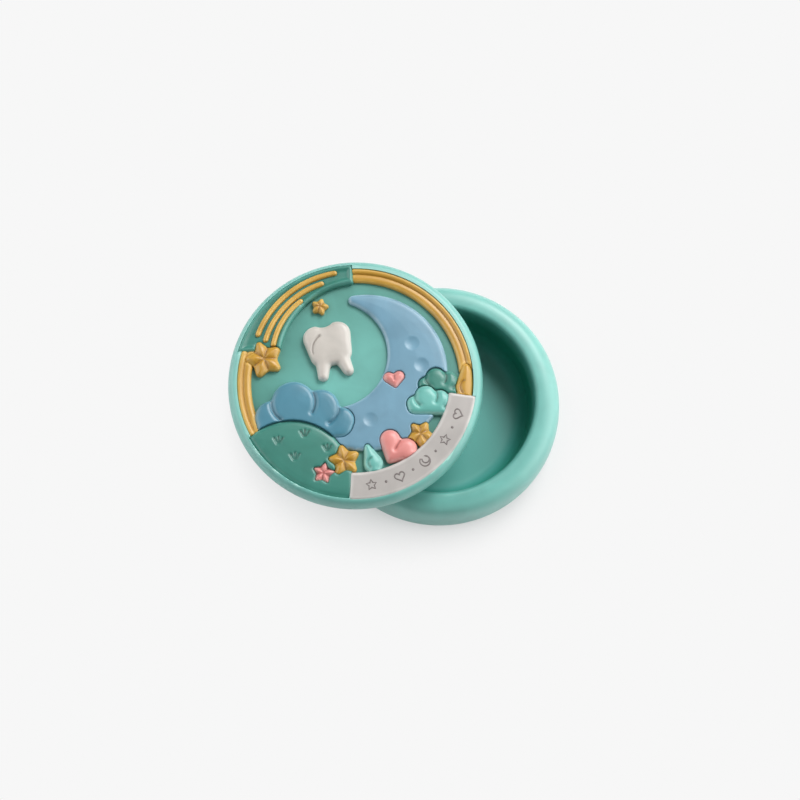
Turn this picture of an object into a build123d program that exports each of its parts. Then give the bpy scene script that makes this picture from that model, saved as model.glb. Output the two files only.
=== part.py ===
"""Round keepsake box for milk teeth: a thick-walled cast bowl and a loose lid with a raised, painted picture.

Millimetres, +Z up. The origin is on the table, under the centre of the bowl. The lid lies flat across
the bowl's rim, slid off to the left, and its picture faces up. Every raised figure of the picture is a
solid of its own, seated on the lid's sunk field, and a figure behind another stops a hair short of it.
"""

import os
from math import cos, radians, sin

from build123d import *

# Bowl
bowl_radius = 30.0
bowl_height = 16.0
foot_inset = 5.5
belly_level = 7.6
shoulder_fullness_share = 0.74
wall_width = 6.6
lip_round = 1.2
crest_width = 0.8
wall_draft = 0.9
floor_thickness = 3.2
floor_round = 4.2

# Lid
lid_overhang = 0.8
lid_height = 6.4
lid_side_level = 3.0
lid_underside_inset = 2.2
lid_rim_width = 2.4
lid_rim_crest = 0.5
field_sink = 1.8
plug_side_gap = 0.5
plug_depth = 2.5
plug_edge = 0.5

# Where the lid lies: its centre from the bowl's centre, as shares of the bowl's radius
lid_place_share = (-0.680, 0.067)

# What the figures of the picture share
figure_gap = 0.1
soft_edge = 0.7
fine_edge = 0.35
overrun = 5.0

# Hoop round the picture
hoop_width = 3.0
hoop_rise = 1.6
hoop_step = 0.35
hoop_bead_share = 0.38
hoop_bead_round_share = 0.45
hoop_split_angle = 115.0

# Label plate
plate_width = 6.3
plate_rise = 1.95
plate_overhang = 0.7
plate_start_angle = -92.0
plate_end_angle = -8.0

# Moon with craters
moon_rise = 1.7
moon_tip_round = 1.2
crater_ball_radius = 4.6
crater_depth = 0.35

# Milk tooth
tooth_rise = 2.2
tooth_dip = 0.7
tooth_lean_angle = 14.0

# Clouds
cloud_rise = 2.2
puff_rise = 2.0
bank_rise = 1.6

# Stars
star_rise = 2.1
comet_star_angle = 20.0
low_star_angle = 12.0
plate_star_angle = -30.0
rose_star_angle = -10.0
hollow_star_angle = -14.0

# Hearts and drops
heart_rise = 2.3
heart_angle = -28.0
moon_heart_rise = 2.1
moon_heart_angle = 8.0
drop_rise = 2.0
drop_angle = 20.0
side_drop_rise = 2.0
side_drop_angle = 2.0

# Comet tail with its streaks
tail_rise = 1.9
tail_overhang = 0.9
streak_width = 1.2
streak_rise = 2.15

# Hill
hill_rise = 1.85
hill_overhang = 0.5

# Sizes of the figures in plan: the picture is one drawing, so they are shares of the field's radius
moon_radius_share = 0.690
moon_hollow_radius_share = 0.472
hill_radius_share = 0.511
tooth_width_share = 0.415
tooth_height_share = 0.486
cloud_width_share = 0.845
puff_width_share = 0.440
bank_width_share = 0.405
heart_width_share = 0.331
moon_heart_width_share = 0.183
drop_length_share = 0.268
side_drop_length_share = 0.331
comet_star_radius_share = 0.190
low_star_radius_share = 0.162
plate_star_radius_share = 0.134
rose_star_radius_share = 0.113
hollow_star_radius_share = 0.088

# Places on the picture as shares of the field's radius, to the right and up
moon_place_share = (0.090, 0.085)
hollow_place_share = (-0.200, 0.240)
tooth_place_share = (-0.215, 0.270)
cloud_place_share = (-0.420, -0.285)
puff_place_share = (0.650, -0.185)
bank_place_share = (0.730, -0.015)
heart_place_share = (0.352, -0.572)
low_star_place_share = (-0.090, -0.690)
plate_star_place_share = (0.550, -0.460)
rose_star_place_share = (-0.260, -0.800)
hollow_star_place_share = (-0.310, 0.662)
moon_heart_place_share = (0.330, 0.020)
drop_place_share = (0.140, -0.670)
hill_place_share = (-0.530, -0.860)
crater_place_shares = [(0.480, 0.330), (0.130, -0.340), (0.560, 0.140)]

# Places along the picture's rim: share of the field's radius, and angle
tail_tip_polar_share = (0.878, 92.0)
tail_waist_polar_share = (0.805, 124.0)
tail_root_polar_share = (0.700, 156.0)
tail_root_outer_angle = 166.0
comet_star_polar_share = (0.800, 166.0)
side_drop_polar_share = (0.945, -0.3)
streak_polar_shares = [
    ((0.975, 101.0), (0.965, 128.0), (0.925, 154.0)),
    ((0.910, 109.0), (0.892, 132.0), (0.845, 155.0)),
    ((0.846, 124.0), (0.815, 140.0), (0.765, 156.0)),
]

# Round lobes of a cloud: x, y and radius as shares of its width, then the length, height and drop of its base
cloud_lobe_shares = [
    (-0.330, -0.040, 0.170),
    (-0.120, 0.110, 0.220),
    (0.150, 0.060, 0.190),
    (0.360, -0.070, 0.135),
]
cloud_base_share = (0.960, 0.270, -0.110)
cloud_notch_share = 0.050

# Circles that a tooth is drawn round: x as a share of its width, y of its height, radius of its width
tooth_crown_shares = [
    (-0.235, 0.275, 0.255),
    (0.235, 0.275, 0.255),
    (-0.180, -0.050, 0.250),
    (0.180, -0.050, 0.250),
]
tooth_root_top_share = (0.150, 0.000, 0.190)
tooth_root_tip_share = (0.265, -0.420, 0.105)
tooth_dip_share = 0.300
tooth_notch_share = 0.060

# Circles that a heart and a drop are drawn round: x, y and radius as shares of the width or the length
heart_lobe_share = (0.235, 0.080, 0.265)
heart_tip_share = (0.000, -0.360, 0.100)
heart_notch_share = 0.080
drop_body_share = (0.000, -0.180, 0.300)
drop_tip_share = (0.000, 0.370, 0.110)

# A star's inner corners and the rounding of all its corners, as shares of its radius
star_waist_share = 0.560
star_tip_share = 0.170

# Worked out from the sizes above
mouth_radius = bowl_radius - wall_width
floor_radius = mouth_radius - wall_draft
plug_radius = mouth_radius - plug_side_gap
lid_radius = bowl_radius + lid_overhang
field_radius = lid_radius - lid_rim_width
field_level = lid_height - field_sink
hoop_outer_radius = field_radius - figure_gap
hoop_inner_radius = hoop_outer_radius - hoop_width
plate_outer_radius = field_radius + plate_overhang
tooth_width = tooth_width_share * field_radius
tooth_height = tooth_height_share * field_radius
lid_base = Vector(
    lid_place_share[0] * bowl_radius,
    lid_place_share[1] * bowl_radius,
    bowl_height + plug_depth,
)
lid_plane = Plane(origin=lid_base, x_dir=(1, 0, 0), z_dir=(0, 0, 1))
lid_section_plane = Plane(origin=lid_base, x_dir=(1, 0, 0), z_dir=(0, -1, 0))
lid_axis = Axis(lid_base, (0, 0, 1))
field_plane = lid_plane.offset(field_level)


def on_field(place_share):
    """A point of the picture from its shares of the field's radius."""
    return (place_share[0] * field_radius, place_share[1] * field_radius)


def along_rim(polar_share):
    """A point of the picture from a share of the field's radius and an angle."""
    reach = polar_share[0] * field_radius
    angle = radians(polar_share[1])
    return (reach * cos(angle), reach * sin(angle))


def rounded_hull(circles):
    """The tight outline round some circles, each an x, a y and a radius."""
    with BuildSketch() as outline:
        for x, y, radius in circles:
            with Locations((x, y)):
                Circle(radius)
        make_hull()
    return outline.sketch


def notches_rounded(outline, radius):
    """An outline with its inner corners rounded, by growing it and shrinking it again."""
    return offset(offset(outline, amount=radius), amount=-radius)


def placed(outline, place, angle):
    """An outline turned by an angle and set on its place."""
    with BuildSketch() as figure:
        with Locations(Location((place[0], place[1], 0), (0, 0, angle))):
            add(outline)
    return figure.sketch


def plate_outline():
    """A band round the lower right of the field, lapping over the lid's rim."""
    plate_inner_radius = plate_outer_radius - plate_width
    sweep_angle = plate_end_angle - plate_start_angle
    with BuildSketch() as outline:
        with BuildLine():
            outer = CenterArc((0, 0), plate_outer_radius, plate_start_angle, sweep_angle)
            inner = CenterArc((0, 0), plate_inner_radius, plate_start_angle, sweep_angle)
            Line(outer @ 0, inner @ 0)
            Line(outer @ 1, inner @ 1)
        make_face()
    return outline.sketch


def moon_outline():
    """A fat crescent, open to the upper left, with blunt tips."""
    with BuildSketch() as outline:
        with Locations(on_field(moon_place_share)):
            Circle(moon_radius_share * field_radius)
        with Locations(on_field(hollow_place_share)):
            Circle(moon_hollow_radius_share * field_radius, mode=Mode.SUBTRACT)
        tips = outline.vertices().sort_by(Axis.Y)
        fillet([tips[0], tips[-1]], radius=moon_tip_round)
    return outline.sketch


def cloud_outline(width_share, place_share):
    """Four round lobes on a flat base with round ends."""
    width = width_share * field_radius
    base_length, base_height, base_drop = (share * width for share in cloud_base_share)
    x, y = on_field(place_share)
    with BuildSketch() as outline:
        for lobe_x, lobe_y, lobe_radius in cloud_lobe_shares:
            with Locations((x + lobe_x * width, y + lobe_y * width)):
                Circle(lobe_radius * width)
        with Locations((x, y + base_drop)):
            SlotOverall(base_length, base_height)
    return notches_rounded(outline.sketch, cloud_notch_share * width)


def star_outline(radius_share, place, angle):
    """A plump star of five blunt points."""
    radius = radius_share * field_radius
    corners = []
    for index in range(10):
        reach = radius if index % 2 == 0 else radius * star_waist_share
        corner_angle = radians(90 + angle + 36 * index)
        corners.append((place[0] + reach * cos(corner_angle), place[1] + reach * sin(corner_angle)))
    with BuildSketch() as outline:
        with BuildLine():
            Polyline(*corners, close=True)
        make_face()
        fillet(outline.vertices(), radius=radius * star_tip_share)
    return outline.sketch


def heart_outline(width_share, place_share, angle):
    """Two round lobes, each drawn down to one blunt tip."""
    width = width_share * field_radius
    lobe_x, lobe_y, lobe_radius = (share * width for share in heart_lobe_share)
    tip = [share * width for share in heart_tip_share]
    with BuildSketch() as outline:
        for side in (-1, 1):
            add(rounded_hull([(side * lobe_x, lobe_y, lobe_radius), tip]))
    heart = notches_rounded(outline.sketch, heart_notch_share * width)
    return placed(heart, on_field(place_share), angle)


def drop_outline(length_share, place, angle):
    """A round body drawn out to one blunt tip."""
    length = length_share * field_radius
    circles = [[share * length for share in circle] for circle in (drop_body_share, drop_tip_share)]
    return placed(rounded_hull(circles), place, angle)


def tooth_circle(share, side=1):
    """One circle of the tooth's outline in real sizes."""
    return (side * share[0] * tooth_width, share[1] * tooth_height, share[2] * tooth_width)


def tooth_outline():
    """A molar: a broad crown with a dip between its cusps, and two short roots."""
    crown_circles = [tooth_circle(share) for share in tooth_crown_shares]
    crown_top = crown_circles[0][1] + crown_circles[0][2]
    dip_radius = tooth_dip_share * tooth_width
    with BuildSketch() as outline:
        add(rounded_hull(crown_circles))
        for side in (-1, 1):
            root_circles = [tooth_circle(share, side) for share in (tooth_root_top_share, tooth_root_tip_share)]
            add(rounded_hull(root_circles))
        with Locations((0, crown_top + dip_radius - tooth_dip)):
            Circle(dip_radius, mode=Mode.SUBTRACT)
    tooth = notches_rounded(outline.sketch, tooth_notch_share * tooth_width)
    return placed(tooth, on_field(tooth_place_share), tooth_lean_angle)


def hill_outline():
    """A round hill that rises from the lower left of the rim."""
    with BuildSketch() as outline:
        with Locations(on_field(hill_place_share)):
            Circle(hill_radius_share * field_radius)
        Circle(field_radius + hill_overhang, mode=Mode.INTERSECT)
    return outline.sketch


def tail_outline():
    """The comet's tail, which follows the rim and narrows towards the top."""
    tip_angle = tail_tip_polar_share[1]
    sweep_angle = tail_root_outer_angle - tip_angle
    with BuildSketch() as outline:
        with BuildLine():
            outer = CenterArc((0, 0), field_radius + tail_overhang, tip_angle, sweep_angle)
            inner = ThreePointArc(
                along_rim(tail_root_polar_share),
                along_rim(tail_waist_polar_share),
                along_rim(tail_tip_polar_share),
            )
            Line(outer @ 1, inner @ 0)
            Line(inner @ 1, outer @ 0)
        make_face()
    return outline.sketch


def streak_outline(polar_shares):
    """One slim streak along the tail, with round ends."""
    start, middle, end = (along_rim(share) for share in polar_shares)
    path = ThreePointArc(start, middle, end, mode=Mode.PRIVATE)
    with BuildSketch() as outline:
        SlotArc(path, streak_width)
    return outline.sketch


def hoop_section():
    """The hoop's section: a round bead outside, and a lower band inside it."""
    bead_width = hoop_width * hoop_bead_share
    band_width = hoop_width - bead_width
    with BuildSketch() as bead:
        with Locations((hoop_outer_radius - 0.5 * bead_width, field_level)):
            Rectangle(bead_width, hoop_rise, align=(Align.CENTER, Align.MIN))
        fillet(bead.vertices().group_by(Axis.Y)[-1], radius=hoop_bead_round_share * bead_width)
    with BuildSketch() as band:
        with Locations((hoop_inner_radius + 0.5 * band_width, field_level)):
            Rectangle(band_width, hoop_rise - hoop_step, align=(Align.CENTER, Align.MIN))
        fillet(band.vertices().group_by(Axis.Y)[-1], radius=fine_edge)
    with BuildSketch() as section:
        add(bead.sketch)
        add(band.sketch)
    return section.sketch


def raised(outline, rise, edge, in_front=(), limit_radius=hoop_outer_radius):
    """A figure on the field, rounded along its upper edge and cut away where others stand in front."""
    with BuildPart() as figure:
        with BuildSketch(field_plane):
            add(outline)
        extrude(amount=rise)
        fillet(figure.faces().sort_by(Axis.Z)[-1].edges(), radius=edge)
        with BuildSketch(field_plane):
            Circle(limit_radius)
        extrude(amount=rise, mode=Mode.INTERSECT)
        if in_front:
            with BuildSketch(field_plane):
                for front_outline in in_front:
                    offset(front_outline, amount=figure_gap, mode=Mode.ADD)
            extrude(amount=rise, mode=Mode.SUBTRACT)
    return figure.part


def make_bowl():
    """A turned bowl: bellied outside with a full shoulder, round lip with a flat crest, filleted floor."""
    crest_inner_radius = mouth_radius + lip_round
    crest_outer_radius = crest_inner_radius + crest_width
    foot_radius = bowl_radius - foot_inset
    shoulder_reach = shoulder_fullness_share * (bowl_radius - crest_outer_radius)
    shoulder_drop = shoulder_fullness_share * (bowl_height - belly_level)
    with BuildPart() as bowl:
        with BuildSketch(Plane.XZ):
            with BuildLine():
                Line((0, 0), (foot_radius, 0))
                EllipticalCenterArc((foot_radius, belly_level), foot_inset, belly_level, -90, arc_size=90)
                Bezier(
                    (bowl_radius, belly_level),
                    (bowl_radius, belly_level + shoulder_drop),
                    (crest_outer_radius + shoulder_reach, bowl_height),
                    (crest_outer_radius, bowl_height),
                )
                Line((crest_outer_radius, bowl_height), (crest_inner_radius, bowl_height))
                CenterArc((crest_inner_radius, bowl_height - lip_round), lip_round, 90, 90)
                Polyline(
                    (mouth_radius, bowl_height - lip_round),
                    (floor_radius, floor_thickness),
                    (0, floor_thickness),
                    (0, 0),
                )
            make_face()
        revolve(axis=Axis.Z)
        floor_edge = bowl.edges().filter_by(GeomType.CIRCLE).group_by(Axis.Z)[1]
        fillet(floor_edge, radius=floor_round)
    return bowl.part


def make_lid(notched):
    """A round-sided disc with a plug below, a sunk field above and notches for what laps over its rim."""
    rim_top_radius = field_radius + lid_rim_crest
    underside_radius = lid_radius - lid_underside_inset
    with BuildPart() as lid:
        with BuildSketch(lid_section_plane):
            with BuildLine():
                Polyline((0, 0), (underside_radius, 0))
                EllipticalCenterArc(
                    (underside_radius, lid_side_level),
                    lid_underside_inset,
                    lid_side_level,
                    start_angle=-90,
                    arc_size=90,
                )
                EllipticalCenterArc(
                    (rim_top_radius, lid_side_level),
                    lid_radius - rim_top_radius,
                    lid_height - lid_side_level,
                    start_angle=0,
                    arc_size=90,
                )
                Polyline(
                    (rim_top_radius, lid_height),
                    (field_radius, lid_height),
                    (field_radius, field_level),
                    (0, field_level),
                    (0, 0),
                )
            make_face()
        revolve(axis=lid_axis)
        with BuildSketch(lid_plane):
            Circle(plug_radius)
        extrude(amount=-plug_depth)
        fillet(lid.edges().group_by(Axis.Z)[0], radius=plug_edge)
        with BuildSketch(field_plane):
            for outline in notched:
                offset(outline, amount=figure_gap, mode=Mode.ADD)
        extrude(amount=overrun, mode=Mode.SUBTRACT)
    return lid.part


def make_moon(in_front):
    """The moon, dented by its craters."""
    ball_level = moon_rise + crater_ball_radius - crater_depth
    with BuildPart() as moon:
        add(raised(moon_shape, moon_rise, soft_edge, in_front))
        with Locations(field_plane.offset(ball_level)):
            with Locations(*[on_field(share) for share in crater_place_shares]):
                Sphere(crater_ball_radius, mode=Mode.SUBTRACT)
    return moon.part


def make_hoop(split_angle, in_front):
    """The hoop on one side of a line through its centre, cut away where figures stand in front."""
    half_width = hoop_outer_radius + overrun
    with BuildPart() as hoop:
        with BuildSketch(lid_section_plane):
            add(hoop_section())
        revolve(axis=lid_axis)
        with BuildSketch(field_plane.rotated((0, 0, split_angle))):
            Rectangle(2 * half_width, half_width, align=(Align.CENTER, Align.MIN))
        extrude(amount=hoop_rise, mode=Mode.INTERSECT)
        with BuildSketch(field_plane):
            for front_outline in in_front:
                offset(front_outline, amount=figure_gap, mode=Mode.ADD)
        extrude(amount=hoop_rise, mode=Mode.SUBTRACT)
    return hoop.part


# Outlines of the figures, before any is cut by another
plate_shape = plate_outline()
heart_shape = heart_outline(heart_width_share, heart_place_share, heart_angle)
moon_heart_shape = heart_outline(moon_heart_width_share, moon_heart_place_share, moon_heart_angle)
drop_shape = drop_outline(drop_length_share, on_field(drop_place_share), drop_angle)
side_drop_shape = drop_outline(side_drop_length_share, along_rim(side_drop_polar_share), side_drop_angle)
low_star_shape = star_outline(low_star_radius_share, on_field(low_star_place_share), low_star_angle)
plate_star_shape = star_outline(plate_star_radius_share, on_field(plate_star_place_share), plate_star_angle)
rose_star_shape = star_outline(rose_star_radius_share, on_field(rose_star_place_share), rose_star_angle)
hollow_star_shape = star_outline(hollow_star_radius_share, on_field(hollow_star_place_share), hollow_star_angle)
comet_star_shape = star_outline(comet_star_radius_share, along_rim(comet_star_polar_share), comet_star_angle)
puff_shape = cloud_outline(puff_width_share, puff_place_share)
bank_shape = cloud_outline(bank_width_share, bank_place_share)
cloud_shape = cloud_outline(cloud_width_share, cloud_place_share)
hill_shape = hill_outline()
tooth_shape = tooth_outline()
moon_shape = moon_outline()
tail_shape = tail_outline()
streak_shapes = [streak_outline(shares) for shares in streak_polar_shares]
rim_figures = [plate_shape, hill_shape, tail_shape]
low_figures = [plate_shape, heart_shape, drop_shape, low_star_shape, plate_star_shape, puff_shape]
moon_front = low_figures + [bank_shape, cloud_shape, hill_shape, tooth_shape, moon_heart_shape]
hoop_front = rim_figures + [comet_star_shape, side_drop_shape, puff_shape, bank_shape, cloud_shape]
hill_limit = field_radius + hill_overhang
tail_limit = field_radius + tail_overhang

# Every piece of the box by its name
pieces = {
    "bowl": make_bowl(),
    "lid": make_lid(rim_figures),
    "hoop_left": make_hoop(hoop_split_angle, hoop_front),
    "hoop_right": make_hoop(hoop_split_angle + 180, hoop_front),
    "label_plate": raised(plate_shape, plate_rise, fine_edge, limit_radius=plate_outer_radius),
    "moon": make_moon(moon_front),
    "moon_heart": raised(moon_heart_shape, moon_heart_rise, fine_edge),
    "tooth": raised(tooth_shape, tooth_rise, soft_edge, [cloud_shape]),
    "cloud": raised(cloud_shape, cloud_rise, soft_edge, [hill_shape, low_star_shape]),
    "small_cloud": raised(puff_shape, puff_rise, soft_edge, [plate_shape, plate_star_shape]),
    "cloud_bank": raised(bank_shape, bank_rise, soft_edge, [plate_shape, puff_shape, side_drop_shape]),
    "heart": raised(heart_shape, heart_rise, soft_edge, [plate_shape]),
    "drop": raised(drop_shape, drop_rise, fine_edge, [plate_shape, heart_shape]),
    "low_star": raised(low_star_shape, star_rise, fine_edge, [plate_shape, drop_shape]),
    "plate_star": raised(plate_star_shape, star_rise, fine_edge, [plate_shape, heart_shape]),
    "rose_star": raised(rose_star_shape, star_rise, fine_edge, [plate_shape]),
    "side_drop": raised(side_drop_shape, side_drop_rise, fine_edge, [plate_shape]),
    "hollow_star": raised(hollow_star_shape, star_rise, fine_edge, [tail_shape, moon_shape]),
    "comet_star": raised(comet_star_shape, star_rise, fine_edge),
    "hill": raised(
        hill_shape, hill_rise, soft_edge, [plate_shape, rose_star_shape, low_star_shape], hill_limit
    ),
    "comet_tail": raised(
        tail_shape, tail_rise, soft_edge, [comet_star_shape] + streak_shapes, tail_limit
    ),
}
for number, streak_shape in enumerate(streak_shapes, start=1):
    pieces[f"comet_streak_{number}"] = raised(streak_shape, streak_rise, fine_edge, [comet_star_shape])

os.makedirs("parts", exist_ok=True)
for name, piece in pieces.items():
    piece.label = name
    export_step(piece, f"parts/{name}.step")
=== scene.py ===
# %% [markdown]
# # A milk-tooth box, cast and painted
#
# The object is a small round box for milk teeth, cast in resin and painted by hand. Its thick-walled bowl
# stands on a pale table, and its lid lies across the bowl's rim, slid off to the left, with a raised picture
# on top: a slate-blue moon, a milk tooth, clouds, stars and a comet inside a mustard hoop.
#
# The lesson starts from a measured frame, in which every piece already has its place in metres. Each cell
# then gives one piece its soft cast shape, or one finish its paint, or lights the table.

# %% Load the measured frame
from math import acos, atan2, cos, pi, radians, sin

import bpy
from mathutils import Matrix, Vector
from mathutils.kdtree import KDTree


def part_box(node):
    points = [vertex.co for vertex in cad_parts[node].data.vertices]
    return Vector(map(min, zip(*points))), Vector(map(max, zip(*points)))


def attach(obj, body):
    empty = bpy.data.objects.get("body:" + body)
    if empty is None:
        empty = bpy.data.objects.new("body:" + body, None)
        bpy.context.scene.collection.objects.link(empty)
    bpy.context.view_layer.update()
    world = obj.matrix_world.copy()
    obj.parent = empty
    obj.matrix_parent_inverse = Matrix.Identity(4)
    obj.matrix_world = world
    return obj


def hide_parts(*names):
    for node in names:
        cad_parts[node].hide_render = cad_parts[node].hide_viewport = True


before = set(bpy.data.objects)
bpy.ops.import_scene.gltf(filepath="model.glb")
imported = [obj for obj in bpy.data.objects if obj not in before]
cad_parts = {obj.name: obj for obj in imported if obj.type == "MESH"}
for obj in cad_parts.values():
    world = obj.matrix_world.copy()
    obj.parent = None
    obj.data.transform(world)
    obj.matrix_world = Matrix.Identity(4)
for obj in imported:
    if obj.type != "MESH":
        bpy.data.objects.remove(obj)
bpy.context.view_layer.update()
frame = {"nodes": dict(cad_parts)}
MM = 0.001

# %% [markdown]
# ## Helpers for working by hand
#
# An edit-mode operator acts on all that is selected, so every step starts from a clean selection. The
# helpers below name the small moves that come back for each piece: select one object alone, apply a
# modifier, and merge the points that lie together.

# %% Selection and modifiers
WELD_DISTANCE = 0.001 * MM


def take(piece):
    """Select one object alone and make it the active one."""
    bpy.ops.object.select_all(action="DESELECT")
    piece.select_set(True)
    bpy.context.view_layer.objects.active = piece


def apply_modifier(piece, kind, **settings):
    """Add a modifier with its settings and apply it at once."""
    take(piece)
    modifier = piece.modifiers.new(kind.lower(), kind)
    for key, value in settings.items():
        setattr(modifier, key, value)
    bpy.ops.object.modifier_apply(modifier=modifier.name)


def weld(piece):
    """Merge points that lie together and turn all faces outwards."""
    take(piece)
    bpy.ops.object.mode_set(mode="EDIT")
    bpy.ops.mesh.select_all(action="SELECT")
    bpy.ops.mesh.remove_doubles(threshold=WELD_DISTANCE)
    bpy.ops.mesh.normals_make_consistent(inside=False)
    bpy.ops.object.mode_set(mode="OBJECT")


print("points merge within", WELD_DISTANCE / MM, "mm")

# %% [markdown]
# ## From the frame and back to it
#
# A figure starts as a copy of its solid in the frame, so its outline is exact from the start. The frame's
# solids are loose triangles, so the copy is merged first. A finished piece gets its paint and the body it
# rides on, and the frame's nodes that it stands for are hidden.

# %% Copy a node and settle a piece
def node_copy(node, name):
    """A welded copy of one of the frame's solids."""
    piece = bpy.data.objects.new(name, frame["nodes"][node].data.copy())
    bpy.context.scene.collection.objects.link(piece)
    weld(piece)
    return piece


def settle(piece, body, slot, material, *nodes):
    """Give a finished piece its paint and its body, and hide the frame's nodes that it stands for."""
    piece.data.materials.clear()
    piece.data.materials.append(material)
    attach(piece, body)
    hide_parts(*nodes)
    print(piece.name, "faces:", len(piece.data.polygons))


print("solids:", ", ".join(frame["nodes"]))

# %% [markdown]
# ## Small parts of a paint
#
# A paint is built from a few kinds of node that come back again and again: noise, a ramp from one value to
# another, a product of two factors, and a blend of two colours. Each gets a helper of one call, so that the
# recipe itself reads like a recipe.

# %% Noise, ramps, products and blends
def noise(nodes, links, place, size, detail, warp=0):
    """Soft noise with patches of a given size."""
    texture = nodes.new("ShaderNodeTexNoise")
    texture.inputs["Scale"].default_value = 1 / size
    texture.inputs["Detail"].default_value = detail
    texture.inputs["Distortion"].default_value = warp
    links.new(place, texture.inputs["Vector"])
    return texture.outputs["Fac"]


def ramp(nodes, links, value, start, end, least=0, most=1):
    """A factor that goes from least to most while a value goes from start to end."""
    slope = nodes.new("ShaderNodeMapRange")
    slope.inputs["From Min"].default_value = start
    slope.inputs["From Max"].default_value = end
    slope.inputs["To Min"].default_value = least
    slope.inputs["To Max"].default_value = most
    links.new(value, slope.inputs["Value"])
    return slope.outputs["Result"]


def product(nodes, links, first, second):
    """Two factors multiplied."""
    times = nodes.new("ShaderNodeMath")
    times.operation = "MULTIPLY"
    links.new(first, times.inputs[0])
    links.new(second, times.inputs[1])
    return times.outputs["Value"]


def blend(nodes, links, factor, first, second):
    """A colour between two others, each of them a fixed colour or the output of a node."""
    mix = nodes.new("ShaderNodeMix")
    mix.data_type = "RGBA"
    links.new(factor, mix.inputs["Factor"])
    for socket, colour in (("A", first), ("B", second)):
        if isinstance(colour, list):
            mix.inputs[socket].default_value = [*colour, 1]
        else:
            links.new(colour, mix.inputs[socket])
    return mix.outputs["Result"]


print("paint helpers: noise, ramp, product, blend")

# %% [markdown]
# ## Where paint wears and pools, and where light and shade are painted
#
# Hand-painted resin is a little paler where an edge sticks out and has been wiped, and a little deeper where
# the paint gathers in corners. Here the paler edges are partly painted highlight as well, and the deeper
# corners partly painted shade. On the two round castings the mesh's own pointiness finds both. The small
# figures carry two masks of their own, named worn_and_highlit and pooled_and_shaded, because pointiness
# shows specks on their fine skins. Their shape step below works the masks out, and the blotches make them
# uneven.

# %% Masks for edges and corners
# Paler edges are partly wear and partly painted highlight; deeper corners are partly pooled paint and partly
# painted shade.
CASTING_EDGE = (0.508, 0.56)
CASTING_EDGE_MOST = 0.75
CASTING_CORNER = (0.492, 0.44)
CASTING_CORNER_MOST = 0.85
PATCHY = (0.35, 0.60)
PATCHY_LEAST = 0.35


def shape_mask(nodes, links, start, end, most):
    """A mask that grows with the mesh's pointiness from one value to another."""
    shape = nodes.new("ShaderNodeNewGeometry")
    return ramp(nodes, links, shape.outputs["Pointiness"], start, end, most=most)


def own_mask(nodes, links, name, blotches):
    """A mask that a figure carries itself, made uneven by the blotches."""
    carried = nodes.new("ShaderNodeAttribute")
    carried.attribute_name = name
    uneven = ramp(nodes, links, blotches, *PATCHY, least=PATCHY_LEAST)
    return product(nodes, links, carried.outputs["Fac"], uneven)


print("pointiness of the castings' edges:", CASTING_EDGE, "and corners:", CASTING_CORNER)

# %% [markdown]
# ## Paint
#
# The box has one recipe for all its paints. It is satin and never quite even: the brush leaves soft
# blotches, the edges are paler, partly as painted highlight, and the corners deeper, partly as painted
# shade. Noise on object coordinates gives the blotches and the fine cast grain, and a coat on top is the
# varnish. Nothing depends on the camera.

# %% The recipe for painted resin
BLOTCH_SIZE = 7 * MM
BLOTCH_DETAIL = 4
BLOTCH_WARP = 0.6
BLOTCH_STOPS = (0.32, 0.68)
BLOTCH_SHADES = (0.90, 1.06)
GRAIN_SIZE = 0.35 * MM
GRAIN_DETAIL = 3
GRAIN_DEPTH = 0.012 * MM
GRAIN_STRENGTH = 0.6
PAINT_ROUGHNESS = 0.44
SMOOTHER_BY = 0.06
ROUGHER_BY = 0.10
VARNISH = 0.9
VARNISH_ROUGHNESS = 0.44


def painted_resin(name, colour, edge_colour, crease_colour, casting):
    """Satin paint on cast resin: blotches, edges paler (wear and painted highlight), corners deeper (pooled
    paint and painted shade), and a fine grain.
    """
    material = bpy.data.materials.new(name)
    material.use_nodes = True
    nodes = material.node_tree.nodes
    links = material.node_tree.links
    shader = nodes["Principled BSDF"]
    place = nodes.new("ShaderNodeTexCoord").outputs["Object"]
    blotches = noise(nodes, links, place, BLOTCH_SIZE, BLOTCH_DETAIL, BLOTCH_WARP)
    tint = nodes.new("ShaderNodeValToRGB")
    for stop, position, shade in zip(tint.color_ramp.elements, BLOTCH_STOPS, BLOTCH_SHADES):
        stop.position = position
        stop.color = [*[min(1, c * shade) for c in colour], 1]
    links.new(blotches, tint.inputs["Fac"])
    if casting:
        edges = shape_mask(nodes, links, *CASTING_EDGE, CASTING_EDGE_MOST)
        creases = shape_mask(nodes, links, *CASTING_CORNER, CASTING_CORNER_MOST)
    else:
        edges = own_mask(nodes, links, "worn_and_highlit", blotches)
        creases = own_mask(nodes, links, "pooled_and_shaded", blotches)
    # Paler edges: wear and painted highlight. Deeper creases: pooled paint and painted shade.
    pale = blend(nodes, links, edges, tint.outputs["Color"], edge_colour)
    deep = blend(nodes, links, creases, pale, crease_colour)
    links.new(deep, shader.inputs["Base Color"])
    grain = noise(nodes, links, place, GRAIN_SIZE, GRAIN_DETAIL)
    smoothest = PAINT_ROUGHNESS - SMOOTHER_BY
    roughest = PAINT_ROUGHNESS + ROUGHER_BY
    links.new(ramp(nodes, links, blotches, 0, 1, smoothest, roughest), shader.inputs["Roughness"])
    bump = nodes.new("ShaderNodeBump")
    bump.inputs["Distance"].default_value = GRAIN_DEPTH
    bump.inputs["Strength"].default_value = GRAIN_STRENGTH
    links.new(grain, bump.inputs["Height"])
    links.new(bump.outputs["Normal"], shader.inputs["Normal"])
    shader.inputs["Coat Weight"].default_value = VARNISH
    shader.inputs["Coat Roughness"].default_value = VARNISH_ROUGHNESS
    return material


print("blotches in mm:", round(BLOTCH_SIZE / MM, 2), "grain in mm:", round(GRAIN_SIZE / MM, 2))
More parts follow.
